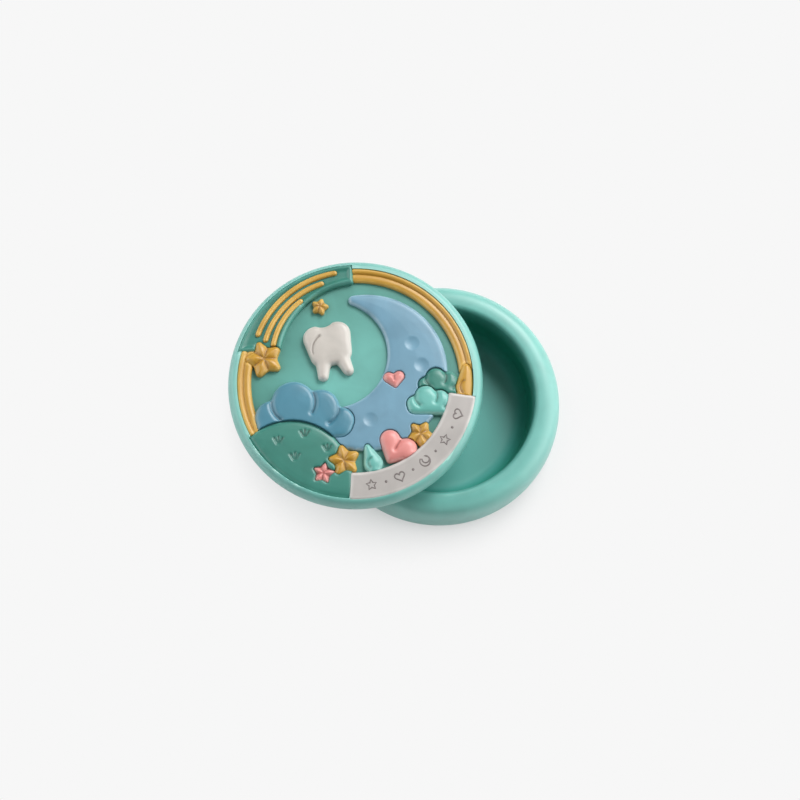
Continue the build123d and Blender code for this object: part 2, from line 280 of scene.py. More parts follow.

# %% [markdown]
# ## The colours
#
# Every paint has three colours: its own, a paler one for edges, which is partly wear and partly painted
# highlight, and a deeper one for creases, which is partly pooled paint and partly painted shade. They are
# written as read on a screen, from 0 to 255. A screen stores colours along a curve that a shader doesn't
# use, so each is made linear first. The castings are bare mint, and all else is brushed on.

# %% Mix the paints
# Each row: own colour, paler edge colour (wear and painted highlight), deeper crease colour (pooled paint and
# painted shade).
PAINT_COLOURS = {
    "mint_resin": ((99, 172, 162), (168, 218, 208), (28, 104, 88)),
    "slate_blue_paint": ((102, 146, 168), (176, 208, 224), (50, 88, 110)),
    "teal_paint": ((64, 126, 147), (136, 190, 206), (24, 74, 92)),
    "leaf_green_paint": ((43, 121, 107), (108, 176, 162), (14, 68, 56)),
    "mustard_paint": ((186, 139, 33), (226, 188, 100), (128, 82, 18)),
    "coral_paint": ((210, 130, 124), (238, 182, 175), (150, 66, 60)),
    "pale_mint_paint": ((96, 172, 162), (168, 218, 208), (40, 112, 98)),
    "warm_grey_paint": ((172, 167, 163), (212, 208, 204), (124, 118, 114)),
    "milk_white_paint": ((190, 184, 176), (224, 219, 212), (130, 121, 113)),
    "sign_paint": ((112, 104, 101), (140, 132, 128), (88, 80, 76)),
}


def from_screen(colour):
    """A colour as read on a screen, 0 to 255, made linear for the shader."""
    share = [v / 255 for v in colour]
    return [s / 12.92 if s <= 0.04045 else ((s + 0.055) / 1.055) ** 2.4 for s in share]


paints = {}
for name, colours in PAINT_COLOURS.items():
    linear = [from_screen(colour) for colour in colours]
    paints[name] = painted_resin(name, *linear, casting=name == "mint_resin")
print("paints:", ", ".join(paints))

# %% [markdown]
# ## Round shapes
#
# The bowl and the lid are round, so both can be drawn out of one ring: a filled circle is extruded a little,
# scaled, extruded again, and so on along the section, as a potter pulls up a wall. A lathe-like spin would
# do it too, but with rings the wall stays one closed skin from the foot to the middle of the floor.

# %% Curves of a section
ARC_STEPS = 12


def quarter(middle, reach, start_angle, end_angle):
    """Points of an ellipse's arc in a section, as radius and level."""
    points = []
    for step in range(ARC_STEPS + 1):
        angle = radians(start_angle + (end_angle - start_angle) * step / ARC_STEPS)
        points.append((middle[0] + reach[0] * cos(angle), middle[1] + reach[1] * sin(angle)))
    return points


def shoulder(start, end, fullness):
    """Points of a full curve that starts upright and ends level, as radius and level."""
    width = start[0] - end[0]
    height = end[1] - start[1]
    points = []
    for step in range(1, ARC_STEPS + 1):
        near = 1 - step / ARC_STEPS
        far = step / ARC_STEPS
        out = near ** 3 + 3 * near ** 2 * far + 3 * near * far ** 2 * fullness
        up = 3 * near ** 2 * far * fullness + 3 * near * far ** 2 + far ** 3
        points.append((end[0] + width * out, start[1] + height * up))
    return points


print("steps in a curve:", ARC_STEPS)

# %% Pull up a ring
RING_STEPS = 144
SMOOTH_ANGLE = radians(35)


def drawn_from_ring(name, section, middle=(0, 0)):
    """Pull a round shape out of one filled circle, ring by ring along its section."""
    bpy.ops.object.select_all(action="DESELECT")
    radius, level = section[0]
    bpy.ops.mesh.primitive_circle_add(
        vertices=RING_STEPS, radius=radius, fill_type="NGON", location=(*middle, level)
    )
    piece = bpy.context.object
    piece.name = name
    bpy.ops.object.transform_apply(location=True)
    bpy.ops.object.mode_set(mode="EDIT")
    bpy.ops.mesh.select_all(action="SELECT")
    for next_radius, next_level in section[1:]:
        bpy.ops.mesh.extrude_region_move(TRANSFORM_OT_translate={"value": (0, 0, next_level - level)})
        share = next_radius / radius
        bpy.ops.transform.resize(value=(share, share, 1), center_override=(*middle, next_level))
        radius, level = next_radius, next_level
    bpy.ops.mesh.select_all(action="SELECT")
    bpy.ops.mesh.normals_make_consistent(inside=False)
    bpy.ops.object.mode_set(mode="OBJECT")
    bpy.ops.object.shade_smooth_by_angle(angle=SMOOTH_ANGLE)
    return piece


print("points round a ring:", RING_STEPS)

# %% [markdown]
# ## Painted shade inside the bowl
#
# Inside the bowl the same mint is painted deeper and greener, most of all on the wall: this is painted
# shade, for the light that goes from wall to wall before it leaves. The bowl's own paint therefore turns
# deeper below the lip and inwards from it, and stays as it is outside.

# %% Painted shade that deepens below the lip
# Colours of the painted shade inside the bowl: on the floor and, deeper, on the wall.
INSIDE_SHADE_COLOUR = (82, 174, 164)
WALL_SHADE_COLOUR = (18, 142, 118)
INSIDE_TOP = 15.2 * MM
INSIDE_DEEP = 9.5 * MM
INSIDE_FLOOR = 1.5 * MM
FLOOR_FADE = 0.5 * MM
INSIDE_RADIUS = 24.4 * MM
RADIUS_FADE = 0.6 * MM
WALL_START = 20.2 * MM
WALL_DEEP = 22.8 * MM


def shade_painted_inside(paint):
    """A copy of a paint whose colour deepens inside the bowl, as painted shade."""
    material = paint.copy()
    material.name = paint.name + "_bowl_with_painted_shade"
    nodes = material.node_tree.nodes
    links = material.node_tree.links
    shader = nodes["Principled BSDF"]
    plain = shader.inputs["Base Color"].links[0].from_socket
    place = nodes.new("ShaderNodeTexCoord")
    parts = nodes.new("ShaderNodeSeparateXYZ")
    links.new(place.outputs["Object"], parts.inputs["Vector"])
    flat = nodes.new("ShaderNodeCombineXYZ")
    links.new(parts.outputs["X"], flat.inputs["X"])
    links.new(parts.outputs["Y"], flat.inputs["Y"])
    reach = nodes.new("ShaderNodeVectorMath")
    reach.operation = "LENGTH"
    links.new(flat.outputs["Vector"], reach.inputs[0])
    radius = reach.outputs["Value"]
    level = parts.outputs["Z"]
    within = ramp(nodes, links, radius, INSIDE_RADIUS, INSIDE_RADIUS - RADIUS_FADE)
    below = ramp(nodes, links, level, INSIDE_TOP, INSIDE_DEEP)
    within = product(nodes, links, within, below)
    above = ramp(nodes, links, level, INSIDE_FLOOR, INSIDE_FLOOR + FLOOR_FADE)
    within = product(nodes, links, within, above)
    toward_wall = ramp(nodes, links, radius, WALL_START, WALL_DEEP)
    # The painted shade deepens towards the wall.
    inside = blend(nodes, links, toward_wall, from_screen(INSIDE_SHADE_COLOUR), from_screen(WALL_SHADE_COLOUR))
    links.new(blend(nodes, links, within, plain, inside), shader.inputs["Base Color"])
    return material


shaded_bowl_paint = shade_painted_inside(paints["mint_resin"])
print("deeper paint:", shaded_bowl_paint.name, "with", len(shaded_bowl_paint.node_tree.nodes), "nodes")

# %% [markdown]
# ## The bowl
#
# The real bowl is one thick casting, bellied outside like a ring doughnut, with a round lip and a soft curve
# between wall and floor inside. Its section is a chain of quarter ellipses, with a fuller curve over the
# shoulder. A narrow flat land on the crest carries the lid. The frame gives the radius and the height, and
# the rest are the casting's own sizes.

# %% Sizes of the bowl
_, bowl_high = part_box("bowl")
bowl_radius = bowl_high.x
bowl_height = bowl_high.z
FOOT_INSET = 5.5 * MM
BELLY_LEVEL = 7.6 * MM
SHOULDER_FULLNESS = 0.74
WALL_WIDTH = 6.6 * MM
LIP_ROUND = 1.2 * MM
CREST_WIDTH = 0.8 * MM
WALL_DRAFT = 0.9 * MM
FLOOR_THICKNESS = 3.2 * MM
FLOOR_ROUND = 4.2 * MM
foot_radius = bowl_radius - FOOT_INSET
mouth_radius = bowl_radius - WALL_WIDTH
floor_radius = mouth_radius - WALL_DRAFT
crest_inner = mouth_radius + LIP_ROUND
crest_outer = crest_inner + CREST_WIDTH
wall_top = bowl_height - LIP_ROUND
wall_foot = FLOOR_THICKNESS + FLOOR_ROUND
for label, value in (("bowl radius", bowl_radius), ("height", bowl_height), ("mouth radius", mouth_radius)):
    print(label, "in mm:", round(value / MM, 2))

# %% Pull up the bowl
POLE_RADIUS = 0.5 * MM
HALF_WAY = 0.5
FOOT_RINGS = (HALF_WAY, 0.9)
WALL_RINGS = 4
WALL_FULLNESS = 0.6

bowl_section = [(POLE_RADIUS, 0)] + [(share * foot_radius, 0) for share in FOOT_RINGS]
bowl_section += quarter((foot_radius, BELLY_LEVEL), (FOOT_INSET, BELLY_LEVEL), -90, 0)
bowl_section += shoulder((bowl_radius, BELLY_LEVEL), (crest_outer, bowl_height), SHOULDER_FULLNESS)
bowl_section += quarter((crest_inner, wall_top), (LIP_ROUND, LIP_ROUND), 90, 180)
for step in range(1, WALL_RINGS):
    share = step / WALL_RINGS
    wall_radius = mouth_radius - WALL_DRAFT * share * WALL_FULLNESS
    bowl_section.append((wall_radius, wall_top + (wall_foot - wall_top) * share))
bowl_section += quarter((floor_radius - FLOOR_ROUND, wall_foot), (FLOOR_ROUND, FLOOR_ROUND), 0, -90)
bowl_section += [(HALF_WAY * floor_radius, FLOOR_THICKNESS), (POLE_RADIUS, FLOOR_THICKNESS)]
bowl = drawn_from_ring("bowl_casting", bowl_section)
settle(bowl, "base", "mint_resin", shaded_bowl_paint, "bowl")

# %% [markdown]
# ## The lid
#
# The lid is a second round casting: a plug below that drops into the mouth, a round side, a narrow rim, and
# a sunk field that holds the picture. It is pulled out of a ring like the bowl, from the plug upwards. The
# plug takes its size from the bowl's mouth, with a little play.

# %% Sizes of the lid
lid_low, lid_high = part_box("lid")
lid_middle = ((lid_low.x + lid_high.x) / 2, (lid_low.y + lid_high.y) / 2)
lid_radius = (lid_high.x - lid_low.x) / 2
PLUG_SIDE_GAP = 0.5 * MM
PLUG_DEPTH = 2.5 * MM
PLUG_EDGE = 0.5 * MM
UNDERSIDE_INSET = 2.2 * MM
SIDE_LEVEL = 3.0 * MM
RIM_WIDTH = 2.4 * MM
RIM_CREST = 0.5 * MM
FIELD_SINK = 1.8 * MM
plug_radius = mouth_radius - PLUG_SIDE_GAP
plug_level = lid_low.z
underside = plug_level + PLUG_DEPTH
side_level = underside + SIDE_LEVEL
field_radius = lid_radius - RIM_WIDTH
field_level = lid_high.z - FIELD_SINK
rim_top = field_radius + RIM_CREST
for label, value in (("lid", lid_radius), ("plug", plug_radius), ("field", field_radius)):
    print(label, "radius in mm:", round(value / MM, 2))

# %% Pull up the lid
lid_section = [(POLE_RADIUS, plug_level), (HALF_WAY * plug_radius, plug_level)]
lid_section += quarter((plug_radius - PLUG_EDGE, plug_level + PLUG_EDGE), (PLUG_EDGE, PLUG_EDGE), -90, 0)
lid_section += [(plug_radius, underside)]
lid_section += quarter((lid_radius - UNDERSIDE_INSET, side_level), (UNDERSIDE_INSET, SIDE_LEVEL), -90, 0)
lid_section += quarter((rim_top, side_level), (lid_radius - rim_top, lid_high.z - side_level), 0, 90)[1:]
lid_section += [(field_radius, lid_high.z), (field_radius, field_level)]
lid_section += [(HALF_WAY * field_radius, field_level), (POLE_RADIUS, field_level)]
lid = drawn_from_ring("lid_casting", lid_section, lid_middle)
print("rings in the lid:", len(lid_section))

# %% [markdown]
# ## Notches in the lid's rim
#
# The label, the hill and the comet's tail lap over the rim of the real lid, so the rim makes way for them.
# Cutting by hand would need the outline of each all over again. Their own solids do it instead, drawn tall so
# that the cut goes right through the rim, and lifted by a hair so that it leaves the field alone.

# %% Notch the rim
NOTCH_TALLNESS = 4
NOTCH_LIFT = 0.02 * MM
RIM_FIGURES = ["label_plate", "hill", "comet_tail"]
for node in RIM_FIGURES:
    cutter = node_copy(node, node + "_cutter")
    bpy.ops.object.mode_set(mode="EDIT")
    bpy.ops.mesh.select_all(action="SELECT")
    bpy.ops.transform.resize(value=(1, 1, NOTCH_TALLNESS), center_override=(*lid_middle, field_level))
    bpy.ops.transform.translate(value=(0, 0, NOTCH_LIFT))
    bpy.ops.object.mode_set(mode="OBJECT")
    apply_modifier(lid, "BOOLEAN", object=cutter, operation="DIFFERENCE", solver="EXACT")
    bpy.data.objects.remove(cutter)
take(lid)
bpy.ops.object.shade_smooth_by_angle(angle=SMOOTH_ANGLE)
settle(lid, "lid", "mint_resin", paints["mint_resin"], "lid")

# %% [markdown]
# ## The raised picture
#
# Each figure of the picture has its exact outline in the frame. The frame's solids have crisp machine edges
# and flat tops, while the real relief came out of a rubber mould and was brushed with paint: every edge is
# soft and every top swells a little. So a copy of each solid is rebuilt as an even skin of tiny squares,
# which can take any soft shape, and the skin is then pressed into shape from its outline inwards. A solid
# can be copied, but a swell that follows a wavy outline can't be had from insets and bevels, which tangle
# in the notches of a cloud, and that is why this step sets the heights by a rule.

# %% Even skins
SKIN = 0.16 * MM
SKIN_PASSES = 4
SMOOTHING = 0.5
PICTURE = [name for name in frame["nodes"] if name not in ("bowl", "lid")]


def even_skin(node):
    """A copy of a frame solid, rebuilt as a skin of even squares."""
    piece = node_copy(node, node + "_relief")
    apply_modifier(piece, "REMESH", mode="VOXEL", voxel_size=SKIN, use_smooth_shade=True)
    apply_modifier(piece, "SMOOTH", factor=SMOOTHING, iterations=SKIN_PASSES)
    return piece


skins = {node: even_skin(node) for node in PICTURE}
print("skins:", len(skins), "points:", sum(len(skin.data.vertices) for skin in skins.values()))

# %% [markdown]
# ## Where an outline is free
#
# A figure swells up from its free outline. Where another figure stands in front and hides part of it, the
# outline is only a cut, and the surface runs up to the other figure's wall at its full height. The walls of
# all figures are therefore gathered as points seen from above, and a figure's own wall points that lie along
# a wall of a figure in front are left out.

# %% Walls seen from above
WALL_LOW = 0.30 * MM
WALL_HIGH = 0.62 * MM


def seen_from_above(points):
    """A search tree of points without their height."""
    tree = KDTree(len(points))
    for index, point in enumerate(points):
        tree.insert((point[0], point[1], 0), index)
    tree.balance()
    return tree


def wall_points(piece):
    """Points of a skin's upright walls."""
    points = []
    for vertex in piece.data.vertices:
        if WALL_LOW < vertex.co.z - field_level < WALL_HIGH:
            points.append((vertex.co.x, vertex.co.y))
    return points


walls = {node: wall_points(skins[node]) for node in PICTURE}
wall_trees = {node: seen_from_above(points) for node, points in walls.items()}
print("wall points:", sum(len(points) for points in walls.values()))

# %% Free outlines
SEAM = 0.32 * MM
LOW_FIGURES = ["label_plate", "heart", "drop", "low_star", "plate_star", "small_cloud"]
IN_FRONT = {
    "moon": LOW_FIGURES + ["cloud_bank", "cloud", "hill", "tooth", "moon_heart"],
    "tooth": ["cloud"],
    "cloud": ["hill", "low_star"],
    "small_cloud": ["label_plate", "plate_star"],
    "cloud_bank": ["label_plate", "small_cloud", "side_drop"],
    "heart": ["label_plate"],
    "drop": ["label_plate", "heart"],
    "low_star": ["label_plate", "drop"],
    "plate_star": ["label_plate", "heart"],
    "rose_star": ["label_plate"],
    "side_drop": ["label_plate"],
    "hill": ["label_plate", "rose_star", "low_star"],
    "comet_tail": ["comet_star", "comet_streak_1", "comet_streak_2", "comet_streak_3"],
    "comet_streak_1": ["comet_star"],
    "comet_streak_2": ["comet_star"],
    "comet_streak_3": ["comet_star"],
}


def free_outline(node):
    """The search tree of a figure's wall points that no figure in front hides."""
    front_trees = [wall_trees[front] for front in IN_FRONT.get(node, [])]
    free = [
        (x, y)
        for x, y in walls[node]
        if all(tree.find((x, y, 0))[2] > SEAM for tree in front_trees)
    ]
    return seen_from_above(free)


print("figures partly hidden by others:", len(IN_FRONT))

# %% [markdown]
# ## Drawing on the picture
#
# A carved line is drawn as a row of close points, with pen moves of four kinds: a place on the picture, a
# place at a distance and an angle from another, an arc and a straight line. Places are shares of the field's
# radius to the right and up from its middle, so that the drawing grows with the lid.

# %% Pen moves
LINE_STEP = 0.08 * MM
FEWEST_STEPS = 2


def on_picture(x_share, y_share):
    """A point of the picture in the scene."""
    return (lid_middle[0] + x_share * field_radius, lid_middle[1] + y_share * field_radius)


def polar(middle, reach, angle):
    """A point at a distance and an angle in degrees from another."""
    return (middle[0] + reach * cos(radians(angle)), middle[1] + reach * sin(radians(angle)))


def arc_line(middle, radius, start_angle, end_angle):
    """Points along an arc."""
    count = max(FEWEST_STEPS, round(abs(radians(end_angle - start_angle)) * radius / LINE_STEP))
    angles = [start_angle + (end_angle - start_angle) * step / count for step in range(count + 1)]
    return [polar(middle, radius, angle) for angle in angles]


def straight_line(start, end):
    """Points along a straight line."""
    length = ((end[0] - start[0]) ** 2 + (end[1] - start[1]) ** 2) ** 0.5
    count = max(FEWEST_STEPS, round(length / LINE_STEP))
    return [
        (start[0] + (end[0] - start[0]) * step / count, start[1] + (end[1] - start[1]) * step / count)
        for step in range(count + 1)
    ]


print("points of a line in mm apart:", round(LINE_STEP / MM, 2))

# %% [markdown]
# ## Creases, clefts, curls and tufts
#
# The carver of the real mould cut veins and curls as round-shouldered lines. Here the lines are creases that
# part a star's arms, the cleft of a heart, curls in the clouds and tufts of grass on the hill. Each kind is
# worked out from the figure's middle and size, so one helper serves every figure of that kind.

# %% Creases and clefts
STAR_ARMS = 5
FIRST_INNER_CORNER = 126
CREASE_REACH = 0.50
CLEFT_ABOVE = 0.16
CLEFT_BELOW = 0.08


def star_creases(middle, radius, angle):
    """Creases from a star's middle to its inner corners."""
    points = []
    for arm in range(STAR_ARMS):
        corner = FIRST_INNER_CORNER + angle + 360 // STAR_ARMS * arm
        points += straight_line(middle, polar(middle, CREASE_REACH * radius, corner))
    return points


def heart_cleft(middle, width, angle):
    """The cleft below a heart's notch."""
    top = polar(middle, CLEFT_ABOVE * width, 90 + angle)
    foot = polar(middle, CLEFT_BELOW * width, 270 + angle)
    return straight_line(top, foot)


print("creases in a star:", STAR_ARMS)

# %% Curls and tufts
CLOUD_LOBES = [
    (-0.330, -0.040, 0.170), (-0.120, 0.110, 0.220), (0.150, 0.060, 0.190), (0.360, -0.070, 0.135)
]
CURLS = [(1, 0, 1), (1, 2, -1), (2, 3, -1)]
CURL_START = 6
CURL_END = 62
BLADE_LEANS = (-32, 0, 32)
BLADE_ROOT = 0.25


def cloud_curls(middle, width):
    """Curls that carry each lobe's round on into the lobe beside it."""
    points = []
    for front, back, turn in CURLS:
        x, y, radius = CLOUD_LOBES[front]
        back_x, back_y, back_radius = CLOUD_LOBES[back]
        reach = ((back_x - x) ** 2 + (back_y - y) ** 2) ** 0.5
        toward = atan2(back_y - y, back_x - x)
        half = acos((reach ** 2 + radius ** 2 - back_radius ** 2) / (2 * reach * radius))
        notch = toward * 180 / pi - turn * half * 180 / pi
        lobe_middle = (middle[0] + x * width, middle[1] + y * width)
        points += arc_line(lobe_middle, radius * width, notch + turn * CURL_START, notch + turn * CURL_END)
    return points


def tuft(root, height):
    """Three short blades of grass that spread from one root."""
    points = []
    for lean in BLADE_LEANS:
        points += straight_line(polar(root, BLADE_ROOT * height, 90 + lean), polar(root, height, 90 + lean))
    return points


print("curls in a cloud:", len(CURLS), "blades in a tuft:", len(BLADE_LEANS))

# %% [markdown]
# ## The carved lines
#
# Each table below has one row for a figure: its place to the right and up, its size, and its turn in degrees,
# or for a gleam the angles where the arc starts and ends. A gleam is the short curved line that makes a drop
# or a tooth look round. Rows in a table are easier to change than the same calls written many times.

# %% Carve the figures
COMET_STAR = (0.800, 166.0, 0.190, 20)
STARS = {
    "low_star": (-0.090, -0.690, 0.162, 12),
    "plate_star": (0.550, -0.460, 0.134, -30),
    "rose_star": (-0.260, -0.800, 0.113, -10),
    "hollow_star": (-0.310, 0.662, 0.088, -14),
}
HEARTS = {"heart": (0.352, -0.572, 0.331, -28), "moon_heart": (0.330, 0.020, 0.183, 8)}
CLOUDS = {
    "cloud": (-0.420, -0.285, 0.845),
    "small_cloud": (0.650, -0.185, 0.440),
    "cloud_bank": (0.730, -0.015, 0.405),
}
GLEAMS = {
    "drop": (0.158, -0.715, 0.046, 118, 232),
    "side_drop": (0.952, -0.060, 0.066, 122, 226),
    "tooth": (-0.215, 0.270, 0.150, 128, 196),
}
TUFTS = [(-0.640, -0.560, 1.9), (-0.420, -0.500, 1.9), (-0.500, -0.700, 1.9), (-0.230, -0.620, 1.7)]

reach, bearing, size, turn = COMET_STAR
comet_middle = polar(lid_middle, reach * field_radius, bearing)
carvings = {"comet_star": star_creases(comet_middle, size * field_radius, turn)}
for node, (x, y, size, turn) in STARS.items():
    carvings[node] = star_creases(on_picture(x, y), size * field_radius, turn)
for node, (x, y, size, turn) in HEARTS.items():
    carvings[node] = heart_cleft(on_picture(x, y), size * field_radius, turn)
for node, (x, y, size) in CLOUDS.items():
    carvings[node] = cloud_curls(on_picture(x, y), size * field_radius)
for node, (x, y, size, start, end) in GLEAMS.items():
    carvings[node] = arc_line(on_picture(x, y), size * field_radius, start, end)
carvings["hill"] = []
for x, y, height in TUFTS:
    carvings["hill"] += tuft(on_picture(x, y), height * MM)
print("carved figures:", ", ".join(carvings))

# %% [markdown]
# ## Profiles
#
# A profile is a table of distances in from the outline, in millimetres, and shares of the full height. A
# pillow swells from a low edge, and a low pillow stays flatter. A button is a small pillow. A rolled leaf
# has a raised border round a sunk middle, a plate and a bead only lose their sharp edge, and the strands
# run along the hoop as two round cords with a groove between them. A carved line works the same way from
# its own middle, and so do the two masks of paler and deeper paint: worn paint and painted highlight,
# pooled paint and painted shade.

# %% Tables of heights and masks
PILLOW = [(0.00, 0.42), (0.15, 0.60), (0.35, 0.74), (0.7, 0.85), (1.2, 0.92), (2.2, 0.97), (4.0, 1.00)]
LOW_PILLOW = [(0.00, 0.40), (0.15, 0.54), (0.35, 0.66), (0.7, 0.75), (1.2, 0.80), (3.0, 0.86), (7.0, 0.92)]
BUTTON = [(0.00, 0.45), (0.2, 0.62), (0.5, 0.77), (1.0, 0.90), (1.7, 0.98), (2.4, 1.00)]
ROLLED = [(0.00, 0.60), (0.2, 0.86), (0.45, 0.97), (0.7, 0.95), (1.1, 0.80), (1.5, 0.72), (5.0, 0.74)]
PLATE = [(0.00, 0.80), (0.15, 0.95), (0.35, 1.00)]
BEAD = [(0.00, 0.85), (0.2, 1.00)]
STRANDS = [
    (0.00, 0.55), (0.20, 0.80), (0.55, 0.98), (0.95, 1.00), (1.35, 0.95), (1.65, 0.87), (1.82, 0.82),
    (1.95, 0.87), (2.20, 0.98), (2.50, 1.02), (2.75, 1.05), (3.00, 1.04),
]
CREASE = [(0.00, 0.62), (0.12, 0.70), (0.30, 0.83), (0.60, 0.93), (1.10, 1.00)]
FINE_CREASE = [(0.00, 0.74), (0.12, 0.80), (0.25, 0.91), (0.40, 0.98), (0.60, 1.00)]
# Masks of paler edges (wear and painted highlight) and of deeper lines and grooves (pooled paint and painted
# shade).
WORN_AND_HIGHLIT = [(0.00, 0.20), (0.15, 0.50), (0.30, 0.62), (0.50, 0.30), (0.80, 0.00)]
POOLED_AND_SHADED = [(0.00, 0.90), (0.10, 0.65), (0.22, 0.20), (0.40, 0.00)]


def read_off(profile, distance):
    """The share of the height at a distance, read off a profile."""
    for (near, near_share), (far, far_share) in zip(profile, profile[1:]):
        if distance < far * MM:
            between = (distance / MM - near) / (far - near)
            return near_share + (far_share - near_share) * between
    return profile[-1][1]


print("a pillow's height 1 mm in:", round(read_off(PILLOW, 1 * MM), 3))

# %% [markdown]
# ## Pressing the skins into shape
#
# Each skin's height is pressed down along its free outline and its carved lines, and then smoothed. The
# hoop is measured from its inner edge instead, because its strands run round. The foot of each skin goes a
# little way into the lid, because the real relief and its lid are one casting without a gap. Each skin also
# swells sideways a little, to close the fine gaps that the frame leaves between neighbours. The hoop and the
# figures that lap over the rim swell more.

# %% Sizes for pressing
FINE_LINES = ("drop", "side_drop", "moon_heart", "hollow_star", "tooth", "hill")
FOOT = 0.14 * MM
FOOT_SINK = 0.35 * MM
SWELL = 0.06 * MM
RIM_SWELL = 0.22 * MM
HOOP_WIDTH = 3.0 * MM
HOOP_GAP = 0.1 * MM
GROOVE = 1.82 * MM
GROOVE_DEPTH_SHARE = 0.6
hoop_inner = field_radius - HOOP_GAP - HOOP_WIDTH
print("inner edge of the hoop in mm:", round(hoop_inner / MM, 2))

# %% Press a skin and carry its masks
def carry_mask(piece, name, values):
    """Store one value for each point of a skin under a name that its paint reads."""
    mask = piece.data.attributes.new(name, "FLOAT", "POINT")
    mask.data.foreach_set("value", values)


def press(node, profile, passes):
    """Press a skin's height down from its free outline and its carved lines, then smooth it."""
    piece = skins[node]
    outline = free_outline(node)
    lines = seen_from_above(carvings[node]) if node in carvings else None
    crease = FINE_CREASE if node in FINE_LINES else CREASE
    facings = [vertex.normal.copy() for vertex in piece.data.vertices]
    swell = RIM_SWELL if node in RIM_FIGURES or profile is STRANDS else SWELL
    # Paler paint near the outline is wear and painted highlight; deeper paint along carved lines and the
    # hoop's groove is pooled paint and painted shade.
    worn_and_highlit = [0.0] * len(facings)
    pooled_and_shaded = [0.0] * len(facings)
    for index, (vertex, facing) in enumerate(zip(piece.data.vertices, facings)):
        height = vertex.co.z - field_level
        if height < FOOT:
            vertex.co.z -= FOOT_SINK
            continue
        spot = (vertex.co.x, vertex.co.y, 0)
        reach = outline.find(spot)[2]
        worn_and_highlit[index] = read_off(WORN_AND_HIGHLIT, reach)
        if profile is STRANDS:
            reach = ((spot[0] - lid_middle[0]) ** 2 + (spot[1] - lid_middle[1]) ** 2) ** 0.5 - hoop_inner
            pooled_and_shaded[index] = GROOVE_DEPTH_SHARE * read_off(POOLED_AND_SHADED, abs(reach - GROOVE))
        share = read_off(profile, reach)
        if lines:
            line_reach = lines.find(spot)[2]
            share *= read_off(crease, line_reach)
            pooled_and_shaded[index] = read_off(POOLED_AND_SHADED, line_reach)
        vertex.co.z = field_level + height * share
        vertex.co.x += swell * facing.x
        vertex.co.y += swell * facing.y
    apply_modifier(piece, "SMOOTH", factor=SMOOTHING, iterations=passes)
    carry_mask(piece, "worn_and_highlit", worn_and_highlit)
    carry_mask(piece, "pooled_and_shaded", pooled_and_shaded)


print("points of the moon to press:", len(skins["moon"].data.vertices))

# %% [markdown]
# ## The figures
#
# One table says how each figure is painted, which profile shapes it and how often it is smoothed. Large
# pillows take more passes, and the hoop, the label and the streaks fewer, so that they keep their lines.

# %% Shape and paint the figures
FIGURES = {
    "hoop_left": ("mustard_paint", STRANDS, 3),
    "hoop_right": ("mustard_paint", STRANDS, 3),
    "label_plate": ("warm_grey_paint", PLATE, 3),
    "moon": ("slate_blue_paint", LOW_PILLOW, 5),
    "moon_heart": ("coral_paint", BUTTON, 4),
    "tooth": ("milk_white_paint", PILLOW, 5),
    "cloud": ("teal_paint", PILLOW, 5),
    "small_cloud": ("pale_mint_paint", BUTTON, 4),
    "cloud_bank": ("leaf_green_paint", BUTTON, 4),
    "heart": ("coral_paint", BUTTON, 4),
    "drop": ("pale_mint_paint", BUTTON, 4),
    "low_star": ("mustard_paint", BUTTON, 4),
    "plate_star": ("mustard_paint", BUTTON, 4),
    "rose_star": ("coral_paint", BUTTON, 4),
    "side_drop": ("mustard_paint", BUTTON, 4),
    "hollow_star": ("mustard_paint", BUTTON, 4),
    "comet_star": ("mustard_paint", BUTTON, 4),
    "hill": ("leaf_green_paint", PILLOW, 5),
    "comet_tail": ("leaf_green_paint", ROLLED, 4),
    "comet_streak_1": ("mustard_paint", BEAD, 3),
    "comet_streak_2": ("mustard_paint", BEAD, 3),
    "comet_streak_3": ("mustard_paint", BEAD, 3),
}
for node, (slot, profile, passes) in FIGURES.items():
    press(node, profile, passes)
    settle(skins[node], "lid", slot, paints[slot], node)

# %% [markdown]
# ## Signs on the label
#
# The label is a flat pale band. A row of small signs is painted along it with a fine brush: stars, hearts
# and a moon, with a dot between each two. Each sign is one closed line of paint, a thin tube pressed flat,
# because a line drawn in the material would be lost in a mesh that someone prints or exports.

# %% Draw the signs
STAR_WAIST = 0.48
MOON_OUTSIDE = 0.95
MOON_INSIDE = 0.66
MOON_HOLLOW = (0.30, 0.18)


def heart_point(turn):
    """A point of the heart curve, which is a sum of waves."""
    across = 0.94 * sin(turn) ** 3
    up = 0.76 * cos(turn) - 0.29 * cos(2 * turn) - 0.12 * cos(3 * turn) - 0.06 * cos(4 * turn)
    return (across, up)


def sign_outline(kind):
    """The outline of a sign about its middle, with a size of one."""
    if kind == "star":
        return [polar((0, 0), STAR_WAIST if step % 2 else 1.0, 90 + 36 * step) for step in range(10)]
    if kind == "heart":
        return [heart_point(radians(turn)) for turn in range(0, 360, 12)]
    if kind == "moon":
        outside = [polar((0, 0), MOON_OUTSIDE, turn) for turn in range(120, 421, 15)]
        inside = [polar(MOON_HOLLOW, MOON_INSIDE, turn) for turn in range(410, 129, -15)]
        return outside + inside
    return [polar((0, 0), 1.0, turn) for turn in range(0, 360, 40)]


print("points in a star, heart and moon:", [len(sign_outline(kind)) for kind in ("star", "heart", "moon")])

# %% A sign as a line of paint
SIGN_LINE = 0.19 * MM
SIGN_LINE_ROUNDNESS = 2
SIGN_FLATNESS = 0.45
LABEL_RISE = 1.95 * MM


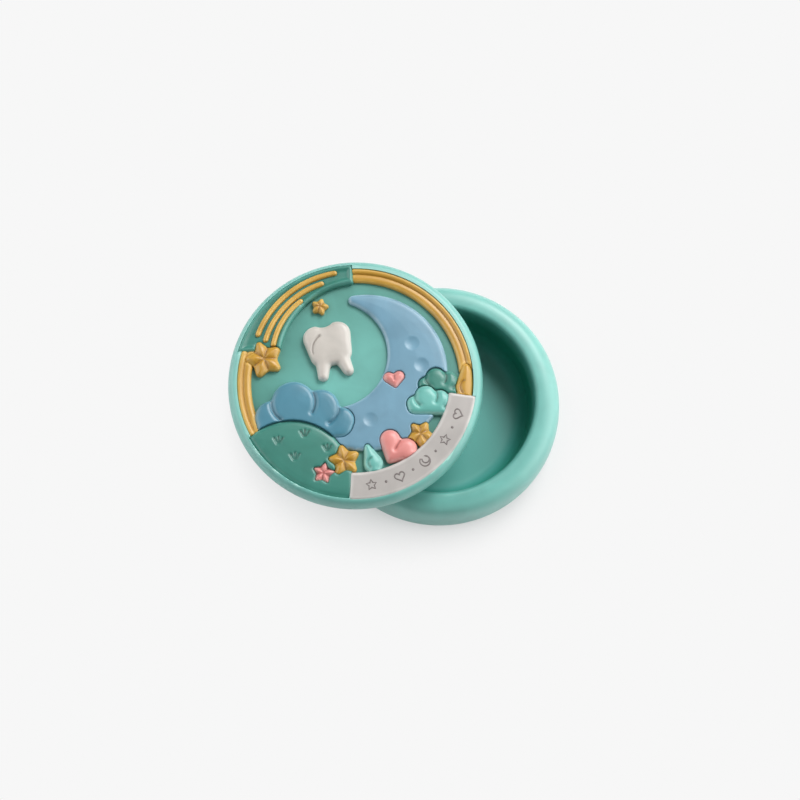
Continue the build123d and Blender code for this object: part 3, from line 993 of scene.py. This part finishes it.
def painted_sign(name, outline, size, middle, turn):
    """One closed line of paint, pressed flat on the label."""
    curve = bpy.data.curves.new(name, "CURVE")
    curve.dimensions = "3D"
    curve.bevel_depth = SIGN_LINE
    curve.bevel_resolution = SIGN_LINE_ROUNDNESS
    line = curve.splines.new("POLY")
    line.points.add(len(outline) - 1)
    for point, (x, y) in zip(line.points, outline):
        point.co = (x * size, y * size, 0, 1)
    line.use_cyclic_u = True
    piece = bpy.data.objects.new(name, curve)
    bpy.context.scene.collection.objects.link(piece)
    piece.location = (*middle, field_level + LABEL_RISE)
    piece.rotation_euler = (0, 0, radians(turn))
    piece.scale = (1, 1, SIGN_FLATNESS)
    take(piece)
    bpy.ops.object.convert(target="MESH")
    bpy.ops.object.transform_apply()
    bpy.ops.object.shade_smooth()
    return piece


print("line of paint in mm:", round(2 * SIGN_LINE / MM, 2), "wide")

# %% Paint the row of signs
SIGN_SIZE = 1.30 * MM
DOT_SIZE = 0.16 * MM
LABEL_MIDDLE_SHARE = 0.914
LABEL_FIRST_ANGLE = -81
LABEL_STEP_ANGLE = 7.75
SIGN_ROW = ["star", "dot", "heart", "dot", "moon", "dot", "star", "dot", "heart"]

signs = []
for place, kind in enumerate(SIGN_ROW):
    angle = LABEL_FIRST_ANGLE + LABEL_STEP_ANGLE * place
    middle = polar(lid_middle, LABEL_MIDDLE_SHARE * field_radius, angle)
    size = DOT_SIZE if kind == "dot" else SIGN_SIZE
    signs.append(painted_sign(f"{kind}_sign_{place}", sign_outline(kind), size, middle, angle + 90))
take(signs[0])
for sign in signs:
    sign.select_set(True)
bpy.ops.object.join()
signs[0].name = "label_signs"
signs[0].data.materials.clear()
signs[0].data.materials.append(paints["sign_paint"])
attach(signs[0], "lid")
print("signs painted:", len(signs[0].data.polygons), "faces")

# %% [markdown]
# ## The pale table
#
# The photograph was taken on a seamless pale sweep. The floor is plain matt and pale for the light that falls
# on it. For the camera alone it is lightened, so that it stays even, while the soft shadow close round the
# box remains: the nearness of the box, read as ambient occlusion, brings the shaded floor back there.

# %% One look for the camera, another for the light
def grey(level):
    """A neutral colour of one level."""
    return (level, level, level, 1)


def for_camera_alone(nodes, links, plain, shown):
    """Show one shader to the camera and another to all other light."""
    path = nodes.new("ShaderNodeLightPath")
    switch = nodes.new("ShaderNodeMixShader")
    links.new(path.outputs["Is Camera Ray"], switch.inputs["Fac"])
    links.new(plain, switch.inputs[1])
    links.new(shown, switch.inputs[2])
    return switch.outputs["Shader"]


print("white:", grey(1))

# %% Lay the table
FLOOR_SIZE = 3.0
bpy.ops.mesh.primitive_plane_add(size=FLOOR_SIZE, location=(0, 0, 0))
table = bpy.context.object
table.name = "table"
print("table in m:", FLOOR_SIZE)

# %% Paint the table
FLOOR_LEVEL_SEEN = 0.930
FLOOR_PAINT = 0.86
FLOOR_ROUGHNESS = 0.9
SHADOW_PAINT = 0.74
SHADOW_REACH = 0.026
SHADOW_SAMPLES = 16
SHADOW_START = 0.82
SHADOW_FULL = 0.10
table_paint = bpy.data.materials.new("table_paint")
table_paint.use_nodes = True
nodes = table_paint.node_tree.nodes
links = table_paint.node_tree.links
matt = nodes["Principled BSDF"]
matt.inputs["Base Color"].default_value = grey(FLOOR_PAINT)
matt.inputs["Roughness"].default_value = FLOOR_ROUGHNESS
glow = nodes.new("ShaderNodeEmission")
glow.inputs["Color"].default_value = grey(1)
glow.inputs["Strength"].default_value = FLOOR_LEVEL_SEEN
shade = nodes.new("ShaderNodeBsdfDiffuse")
shade.inputs["Color"].default_value = grey(SHADOW_PAINT)
near_box = nodes.new("ShaderNodeAmbientOcclusion")
near_box.samples = SHADOW_SAMPLES
near_box.inputs["Distance"].default_value = SHADOW_REACH
closeness = ramp(nodes, links, near_box.outputs["AO"], SHADOW_START, SHADOW_FULL)
pale_floor = nodes.new("ShaderNodeMixShader")
links.new(closeness, pale_floor.inputs["Fac"])
links.new(glow.outputs["Emission"], pale_floor.inputs[1])
links.new(shade.outputs["BSDF"], pale_floor.inputs[2])
floor_shader = for_camera_alone(nodes, links, matt.outputs["BSDF"], pale_floor.outputs["Shader"])
links.new(floor_shader, nodes["Material Output"].inputs["Surface"])
table.data.materials.append(table_paint)
print("the shadow reaches", round(SHADOW_REACH / MM, 1), "mm")

# %% [markdown]
# ## Light
#
# Two large soft lights stand low to the right and the left, and a smaller one higher up behind. The side
# lights give the broad highlights on the round rims. They are large and gentle, because a small strong one
# whitens the varnish on the lid when it is seen from the far side.

# %% Set up the lights
# Each row gives a light's place and width in metres and its power in watts.
SOFT_LIGHTS = {
    "right_softbox": ((0.53, 0.02, 0.24), 0.66, 3.7),
    "back_softbox": ((0.24, 0.40, 0.48), 0.28, 3.5),
    "left_softbox": ((-0.52, 0.04, 0.24), 0.66, 2.7),
}


def soft_light(name, place, width, power):
    """A square soft light that faces the box."""
    data = bpy.data.lights.new(name, "AREA")
    data.shape = "SQUARE"
    data.size = width
    data.energy = power
    light = bpy.data.objects.new(name, data)
    bpy.context.scene.collection.objects.link(light)
    light.location = place
    light.rotation_euler = (-Vector(place)).to_track_quat("-Z", "Y").to_euler()


for name, (place, width, power) in SOFT_LIGHTS.items():
    soft_light(name, place, width, power)
print("lights:", ", ".join(SOFT_LIGHTS))

# %% [markdown]
# ## The room
#
# A little light comes from all round, as in a white room. The camera alone sees the room at the floor's own
# level, so that floor and background run into each other without a line, from the side too.

# %% Fill the room
ROOM_FILL = 0.15
studio = bpy.data.worlds.new("studio")
studio.use_nodes = True
nodes = studio.node_tree.nodes
links = studio.node_tree.links
fill = nodes["Background"]
fill.inputs["Color"].default_value = grey(1)
fill.inputs["Strength"].default_value = ROOM_FILL
sweep = nodes.new("ShaderNodeBackground")
sweep.inputs["Color"].default_value = grey(1)
sweep.inputs["Strength"].default_value = FLOOR_LEVEL_SEEN
room_shader = for_camera_alone(nodes, links, fill.outputs["Background"], sweep.outputs["Background"])
links.new(room_shader, nodes["World Output"].inputs["Surface"])
bpy.context.scene.world = studio
print("room light:", ROOM_FILL, "background seen:", FLOOR_LEVEL_SEEN)

# %% [markdown]
# ## Camera
#
# The photograph was taken from high up, about 75 degrees above the table, and not from very far away. The
# lens follows from how many pixels of the picture one millimetre of the box fills.

# %% Place the camera
PHOTO_SIZE = 800
SENSOR_WIDTH = 36.0
CAMERA_REACH = 0.400
CAMERA_ELEVATION = radians(75.0)
PIXELS_PER_MM = 3.914
CAMERA_TARGET = Vector((-9.66 * MM, 3.73 * MM, 0))
camera_data = bpy.data.cameras.new("camera")
camera_data.sensor_width = SENSOR_WIDTH
camera_data.lens = PIXELS_PER_MM * (CAMERA_REACH / MM) / PHOTO_SIZE * SENSOR_WIDTH
camera = bpy.data.objects.new("camera", camera_data)
bpy.context.scene.collection.objects.link(camera)
camera.location = CAMERA_TARGET + CAMERA_REACH * Vector((0, -cos(CAMERA_ELEVATION), sin(CAMERA_ELEVATION)))
camera.rotation_euler = (pi / 2 - CAMERA_ELEVATION, 0, 0)
bpy.context.scene.camera = camera
bpy.context.scene.view_settings.view_transform = "Standard"
print("lens in mm:", round(camera_data.lens, 2))
